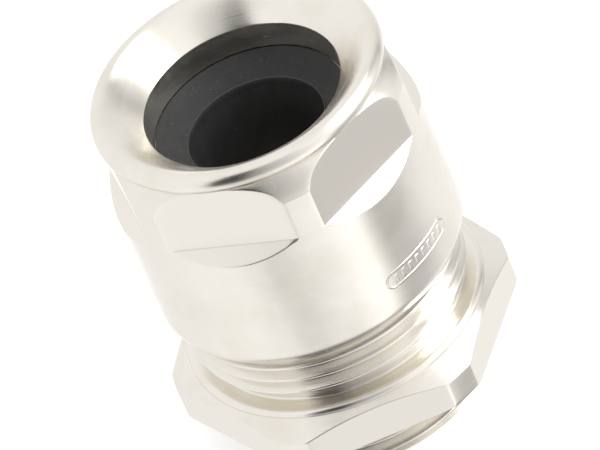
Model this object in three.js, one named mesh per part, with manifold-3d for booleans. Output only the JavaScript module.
// A straight-through brass cable gland, 25 mm entry thread, standing on its entry end.
// Millimetres, +Z up along the cable, origin on the gland's axis at the bottom of the entry thread.
import * as THREE from 'three';
import { mergeVertices } from 'three/addons/utils/BufferGeometryUtils.js';
import Module from 'manifold-3d';

const wasm = await Module();
wasm.setup();

// ---- driving dimensions ----------------------------------------------------------------------
const ROUND_STEPS = 32;          // facets around every turned or threaded surface
const GAP = 0.3;                 // between pieces that touch
const JOIN = 0.5;                // how far one turned part runs into the next
const BEYOND = 1;                // how far a cut runs past the face it opens

const PITCH = 1.5;               // both threads, right-handed
const THREAD_DEPTH = 0.92;
const THREAD_PLAY = 0.25;        // radial play between the nut's thread and the body's
const THREAD_LIFT = 0.25;        // height of a thread crest on the +X side
const CREST_CLEAR = 0.1;         // how far the outlines that end a thread pass its crests
const LEAD_IN = 0.9;             // bevel at the open end of a thread

const ENTRY_THREAD_R = 12.5;     // M25 x 1.5
const ENTRY_THREAD_TOP = 3.0;
const ENTRY_NECK_R = 11.3;       // thread run-out groove under the hexagon
const ENTRY_NECK_Z = 3.8;
const RELIEF_R = 12.75;          // shallow groove in the hexagon's underside, round the neck
const RELIEF_DEPTH = 0.3;
const HEX_BOTTOM = 5.2;
const HEX_TOP = 9.3;
const HEX_ACROSS = 30;           // spanner size of the body
const HEX_TURNED_R = 16.5;       // the bar's turned radius, which cuts the corners off
const HEX_CHAMFER = 1.15;
const HEX_EDGE = 0.25;           // small bevel under the turned corners
const BEAD_R = 14.4;             // rounded step on top of the hexagon
const BEAD_TOP = 9.95;
const BEAD_INSET = 0.05;
const NUT_THREAD_R = 13.5;       // M27 x 1.5
const RUN_OUT_R = 12.45;         // groove below the nut thread
const NUT_THREAD_START = 11.0;
const NUT_THREAD_END = 23.9;
const BODY_TOP = 24.8;
const CABLE_R = 9.0;             // bore for the cable in the metal parts
const CABLE_FLARE = 0.3;
const SEAT_Z = 17.3;             // step that the lower washer rests on
const SEAL_POCKET_R = 10.9;
const POCKET_FLARE = 0.5;

const NUT_BOTTOM = 16.5;
const NUT_R = 14.9;
const NUT_FOOT_R = 14.35;
const NUT_FOOT_RISE = 1.4;
const NUT_ACROSS = 27;           // spanner size of the nut
const NUT_TWIST = 4.9;           // degrees that the nut's flats are turned from +X
const FLAT_BOTTOM = 30.7;
const LEDGE_FALL = 1.0;          // drop of the ledge under a flat, per mm outwards
const SHOULDER_Z = 35.0;
const SHOULDER_SLOPE = 0.15;
const SHOULDER_CURVE = 0.065;
const NECK_R = 13.5;
const NECK_Z = 37.4;
const LIP_R = 14.0;
const LIP_ROUND = 1.0;
const NUT_TOP = 39.2;
const BELL_R = 11.6;             // a point half way down the bell mouth
const BELL_Z = 38.5;
const MOUTH_R = 9.4;
const MOUTH_Z = 36.65;
const MOUTH_BOTTOM_R = 9.2;
const CHAMBER_R = 11.05;         // room for the seal and the slip washer inside the nut
const CHAMBER_TOP = 34.05;
const COUNTERBORE = 0.5;         // plain bore below the nut's own thread
const TAP_LENGTH = 11.4;
const TAP_RELIEF = 1;
const CONE_RISE = 0.7;           // rise per mm inwards, from the thread to the chamber
const CORE_R = 7;                // inside everything that is bored out of the nut

const WASHER_BORE_R = 9.2;
const WASHER_THICK = 1.0;
const SLIP_THICK = 0.8;
const WASHER_EDGE = 0.15;
const SEAL_R = 10.6;
const SEAL_FOOT_BEVEL = 0.8;
const SEAL_EDGE = 0.5;
const SEAL_BOSS_R = 8.85;
const SEAL_MOUTH_R = 6.5;
const SEAL_WAIST_R = 5.5;
const SEAL_WAIST_HALF = 1;       // half the length of the narrow part of the seal's bore
const SEAL_DISH = 1.75;          // depth of the seal's conical face

// ---- helpers ---------------------------------------------------------------------------------
const radians = THREE.MathUtils.degToRad;

function arc(cx, cz, r, fromDegrees, toDegrees, steps) {
  const points = [];
  for (let i = 0; i <= steps; i += 1) {
    const a = radians(fromDegrees + ((toDegrees - fromDegrees) * i) / steps);
    points.push([cx + r * Math.cos(a), cz + r * Math.sin(a)]);
  }
  return points;
}

function toManifold(geometry) {
  const bare = geometry.clone();
  bare.deleteAttribute('normal');
  bare.deleteAttribute('uv');
  const merged = mergeVertices(bare, 1e-4);
  const kept = [];
  for (let i = 0; i < merged.index.count; i += 3) {
    const [a, b, c] = [0, 1, 2].map((k) => merged.index.getX(i + k));
    if (a !== b && b !== c && c !== a) kept.push(a, b, c);
  }
  const triVerts = new Uint32Array(kept);
  const vertProperties = new Float32Array(merged.attributes.position.array);
  const solid = new wasm.Manifold(new wasm.Mesh({ numProp: 3, vertProperties, triVerts }));
  if (solid.volume() > 0) return solid;
  for (let i = 0; i < triVerts.length; i += 3) triVerts.subarray(i, i + 3).reverse();
  return new wasm.Manifold(new wasm.Mesh({ numProp: 3, vertProperties, triVerts }));
}

function toGeometry(solid) {
  const mesh = solid.getMesh();
  const position = new Float32Array(mesh.numVert * 3);
  for (let i = 0; i < mesh.numVert; i += 1) {
    for (let k = 0; k < 3; k += 1) position[3 * i + k] = mesh.vertProperties[mesh.numProp * i + k];
  }
  const geometry = new THREE.BufferGeometry();
  geometry.setAttribute('position', new THREE.BufferAttribute(position, 3));
  geometry.setIndex(new THREE.BufferAttribute(new Uint32Array(mesh.triVerts), 1));
  geometry.computeVertexNormals();
  return geometry;
}

// Turns a closed outline of [radius, height] points around the Z axis. An outline that touches
// the axis gives a solid bar; its triangles that shrink to a line there are dropped above.
function turned(outline, steps = ROUND_STEPS) {
  const points = [...outline, outline[0]].map(([r, z]) => new THREE.Vector2(r, z));
  const geometry = new THREE.LatheGeometry(points, steps);
  geometry.rotateX(Math.PI / 2);
  return toManifold(geometry);
}

// A threaded rod that is longer than needed at both ends: four points for each pitch, swept up a
// helix, and closed by a fan to a point on the axis above and below.
function threadedRod(majorR, bottom, top) {
  const minorR = majorR - THREAD_DEPTH;
  const section = [
    [minorR, -PITCH / 2 + PITCH / 12],
    [majorR, -PITCH / 16],
    [majorR, PITCH / 16],
    [minorR, PITCH / 2 - PITCH / 12],
  ];
  const firstTurn = Math.floor(bottom / PITCH) - 2;
  const turns = Math.ceil((top - bottom) / PITCH) + 4;
  const rows = turns * section.length;
  const position = [];
  for (let i = 0; i < ROUND_STEPS; i += 1) {
    const angle = (2 * Math.PI * i) / ROUND_STEPS;
    for (let j = 0; j <= rows; j += 1) {
      const [r, dz] = section[j % section.length];
      const turn = firstTurn + Math.floor(j / section.length) + i / ROUND_STEPS;
      position.push(r * Math.cos(angle), r * Math.sin(angle), turn * PITCH + THREAD_LIFT + dz);
    }
  }
  const vertex = (i, j) => (i < ROUND_STEPS ? i * (rows + 1) + j : j + section.length);
  const low = position.length / 3;
  position.push(0, 0, (firstTurn - 8) * PITCH);
  position.push(0, 0, (firstTurn + turns + 8) * PITCH);
  const high = low + 1;
  const index = [];
  for (let i = 0; i < ROUND_STEPS; i += 1) {
    const lastRow = i < ROUND_STEPS - 1 ? rows : rows - section.length;
    for (let j = 0; j < lastRow; j += 1) {
      index.push(vertex(i, j), vertex(i + 1, j), vertex(i + 1, j + 1));
      index.push(vertex(i, j), vertex(i + 1, j + 1), vertex(i, j + 1));
    }
    index.push(low, vertex(i + 1, 0), vertex(i, 0));
    index.push(high, vertex(i, lastRow), vertex(i + 1, lastRow));
  }
  for (let j = 0; j < section.length; j += 1) {
    index.push(low, vertex(0, j), vertex(0, j + 1));
    const k = rows - section.length + j;
    index.push(high, vertex(ROUND_STEPS - 1, k + 1), vertex(ROUND_STEPS - 1, k));
  }
  const geometry = new THREE.BufferGeometry();
  geometry.setAttribute('position', new THREE.Float32BufferAttribute(position, 3));
  geometry.setIndex(index);
  return toManifold(geometry);
}

function piece(name, solid, material) {
  const mesh = new THREE.Mesh(toGeometry(solid), material);
  mesh.name = name;
  return mesh;
}

// A six-sided bar around the Z axis, with the middle of one flat turned by twist degrees from +X.
function hexBar(across, bottom, top, twist) {
  const geometry = new THREE.CylinderGeometry(1, 1, top - bottom, 6);
  const cornerR = across / 2 / Math.cos(Math.PI / 6);
  geometry.scale(cornerR, 1, cornerR);
  geometry.rotateX(Math.PI / 2);
  geometry.rotateZ(radians(twist));
  geometry.translate(0, 0, (top + bottom) / 2);
  return toManifold(geometry);
}

// ---- materials -------------------------------------------------------------------------------
const NICKEL = { color: 0xd9d4c8, roughness: 0.24, metalness: 1.0 };
const bodyMetal = new THREE.MeshStandardMaterial(NICKEL);
const nutMetal = new THREE.MeshStandardMaterial(NICKEL);
const washerMetal = new THREE.MeshStandardMaterial({ ...NICKEL, roughness: 0.35 });
const sealRubber = new THREE.MeshStandardMaterial({ color: 0x1d1e20, roughness: 0.75, metalness: 0 });

// ---- gland body: entry thread, hexagon and nut thread, turned from one bar ---------------------
function glandBody() {
  const entry = turned([
    [0, 0],
    [ENTRY_THREAD_R - LEAD_IN, 0],
    [ENTRY_THREAD_R + CREST_CLEAR, LEAD_IN],
    [ENTRY_THREAD_R + CREST_CLEAR, ENTRY_THREAD_TOP],
    [ENTRY_NECK_R, ENTRY_NECK_Z],
    [0, ENTRY_NECK_Z],
  ]).intersect(threadedRod(ENTRY_THREAD_R, 0, HEX_BOTTOM));
  const neck = turned([
    [0, ENTRY_THREAD_TOP],
    [ENTRY_NECK_R, ENTRY_THREAD_TOP],
    [ENTRY_NECK_R, HEX_BOTTOM + JOIN],
    [0, HEX_BOTTOM + JOIN],
  ]);
  const hexagon = turned([
    [0, HEX_BOTTOM + RELIEF_DEPTH],
    [RELIEF_R, HEX_BOTTOM + RELIEF_DEPTH],
    [RELIEF_R, HEX_BOTTOM],
    [HEX_TURNED_R - HEX_EDGE, HEX_BOTTOM],
    [HEX_TURNED_R, HEX_BOTTOM + HEX_EDGE],
    [HEX_TURNED_R, HEX_TOP - HEX_CHAMFER],
    [BEAD_R, HEX_TOP],
    [0, HEX_TOP],
  ]).intersect(hexBar(HEX_ACROSS, 0, BODY_TOP, 30));
  const beadRound = BEAD_TOP - HEX_TOP;
  const stemFoot = turned([
    [0, HEX_TOP - JOIN],
    [BEAD_R - BEAD_INSET, HEX_TOP - JOIN],
    ...arc(BEAD_R - BEAD_INSET - beadRound, HEX_TOP, beadRound, 0, 90, 4),
    [RUN_OUT_R, BEAD_TOP],
    [RUN_OUT_R, NUT_THREAD_START + JOIN],
    [0, NUT_THREAD_START + JOIN],
  ]);
  const stem = turned([
    [0, NUT_THREAD_START - GAP],
    [RUN_OUT_R, NUT_THREAD_START - GAP],
    [NUT_THREAD_R + CREST_CLEAR, NUT_THREAD_START + JOIN],
    [NUT_THREAD_R + CREST_CLEAR, NUT_THREAD_END],
    [NUT_THREAD_R - LEAD_IN, BODY_TOP],
    [0, BODY_TOP],
  ]).intersect(threadedRod(NUT_THREAD_R, HEX_TOP, BODY_TOP));
  const bore = turned([
    [0, -BEYOND],
    [CABLE_R + CABLE_FLARE + BEYOND, -BEYOND],
    [CABLE_R, CABLE_FLARE],
    [CABLE_R, SEAT_Z],
    [SEAL_POCKET_R, SEAT_Z],
    [SEAL_POCKET_R, BODY_TOP - POCKET_FLARE],
    [SEAL_POCKET_R + POCKET_FLARE + BEYOND, BODY_TOP + BEYOND],
    [0, BODY_TOP + BEYOND],
  ]);
  return entry.add(neck).add(hexagon).add(stemFoot).add(stem).subtract(bore);
}

// ---- the two washers that carry the squeeze ---------------------------------------------------
function washer(innerR, outerR, bottom, thick) {
  return turned([
    [innerR, bottom],
    [outerR - WASHER_EDGE, bottom],
    [outerR, bottom + WASHER_EDGE],
    [outerR, bottom + thick - WASHER_EDGE],
    [outerR - WASHER_EDGE, bottom + thick],
    [innerR, bottom + thick],
  ]);
}

const SEAL_BOTTOM = SEAT_Z + GAP + WASHER_THICK + GAP;
const SLIP_BOTTOM = CHAMBER_TOP - GAP - SLIP_THICK;
const SEAL_TOP = SLIP_BOTTOM - GAP;

// ---- sealing ring: a thick rubber sleeve whose neck shows in the nut's mouth -------------------
function sealingRing() {
  const waistZ = (SEAL_BOTTOM + SEAL_TOP) / 2;
  return turned([
    [SEAL_MOUTH_R, SEAL_BOTTOM],
    [SEAL_R - SEAL_FOOT_BEVEL, SEAL_BOTTOM],
    [SEAL_R, SEAL_BOTTOM + SEAL_FOOT_BEVEL],
    [SEAL_R, SEAL_TOP - SEAL_EDGE],
    [SEAL_R - SEAL_EDGE, SEAL_TOP],
    [SEAL_BOSS_R, SEAL_TOP],
    [SEAL_BOSS_R, CHAMBER_TOP],
    [SEAL_MOUTH_R, CHAMBER_TOP - SEAL_DISH],
    [SEAL_WAIST_R, waistZ + SEAL_WAIST_HALF],
    [SEAL_WAIST_R, waistZ - SEAL_WAIST_HALF],
  ]);
}

// ---- compression nut: skirt with the thread, six flats, bell mouth ------------------------------
function flatCutter(twist) {
  const reach = 20;
  const flat = NUT_ACROSS / 2;
  const shape = new THREE.Shape([
    new THREE.Vector2(flat, FLAT_BOTTOM),
    new THREE.Vector2(flat + reach, FLAT_BOTTOM - reach * LEDGE_FALL),
    new THREE.Vector2(flat + reach, NECK_Z),
    new THREE.Vector2(flat, NECK_Z),
  ]);
  const geometry = new THREE.ExtrudeGeometry(shape, { depth: 2 * reach, bevelEnabled: false });
  geometry.translate(0, 0, -reach);
  geometry.rotateX(Math.PI / 2);
  geometry.rotateZ(radians(twist));
  return toManifold(geometry);
}

function foot() {
  return arc(0, 0, 1, -90, 0, 3).map(([out, up]) => [
    NUT_FOOT_R + (NUT_R - NUT_FOOT_R) * out,
    NUT_BOTTOM + NUT_FOOT_RISE * (1 + up),
  ]);
}

// The shoulder falls away faster and faster up to the neck.
function shoulder() {
  const steps = 4;
  const points = [];
  for (let i = 0; i < steps; i += 1) {
    const up = ((NECK_Z - SHOULDER_Z) * i) / steps;
    points.push([NUT_R - SHOULDER_SLOPE * up - SHOULDER_CURVE * up ** 3, SHOULDER_Z + up]);
  }
  return [...points, [NECK_R, NECK_Z]];
}

function compressionNut() {
  let nut = turned([
    [CORE_R, NUT_BOTTOM],
    ...foot(),
    ...shoulder(),
    ...arc(LIP_R - LIP_ROUND, NUT_TOP - LIP_ROUND, LIP_ROUND, -30, 90, 4),
    [BELL_R, BELL_Z],
    [MOUTH_R, MOUTH_Z],
    [CORE_R, MOUTH_Z],
  ]);
  for (let i = 0; i < 6; i += 1) nut = nut.subtract(flatCutter(NUT_TWIST + 60 * i));

  const femaleR = NUT_THREAD_R + THREAD_PLAY;
  const tapTop = NUT_BOTTOM + TAP_LENGTH;
  const coneTop = tapTop + TAP_RELIEF + CONE_RISE * (femaleR - CHAMBER_R);
  const tap = threadedRod(femaleR, NUT_BOTTOM, tapTop).intersect(turned([
    [0, NUT_BOTTOM + GAP],
    [femaleR + CREST_CLEAR, NUT_BOTTOM + GAP],
    [femaleR + CREST_CLEAR, tapTop],
    [0, tapTop],
  ]));
  const room = turned([
    [0, NUT_BOTTOM - BEYOND],
    [femaleR + CREST_CLEAR, NUT_BOTTOM - BEYOND],
    [femaleR + CREST_CLEAR, NUT_BOTTOM + COUNTERBORE],
    [femaleR - THREAD_DEPTH, NUT_BOTTOM + COUNTERBORE + LEAD_IN],
    [femaleR - THREAD_DEPTH, tapTop - JOIN],
    [femaleR, tapTop],
    [femaleR, tapTop + TAP_RELIEF],
    [CHAMBER_R, coneTop],
    [CHAMBER_R, CHAMBER_TOP],
    [MOUTH_BOTTOM_R, CHAMBER_TOP],
    [MOUTH_R, MOUTH_Z],
    [MOUTH_R, NUT_TOP],
    [0, NUT_TOP],
  ]);
  return nut.subtract(room).subtract(tap);
}

// ---- the assembly ----------------------------------------------------------------------------
const lowerWasher = washer(WASHER_BORE_R, SEAL_R, SEAT_Z + GAP, WASHER_THICK);
const slipWasher = washer(SEAL_BOSS_R + GAP, CHAMBER_R - GAP, SLIP_BOTTOM, SLIP_THICK);
const gland = new THREE.Group();
gland.add(piece('gland_body', glandBody(), bodyMetal));
gland.add(piece('lower_washer', lowerWasher, washerMetal));
gland.add(piece('sealing_ring', sealingRing(), sealRubber));
gland.add(piece('slip_washer', slipWasher, washerMetal));
gland.add(piece('compression_nut', compressionNut(), nutMetal));

export default gland;
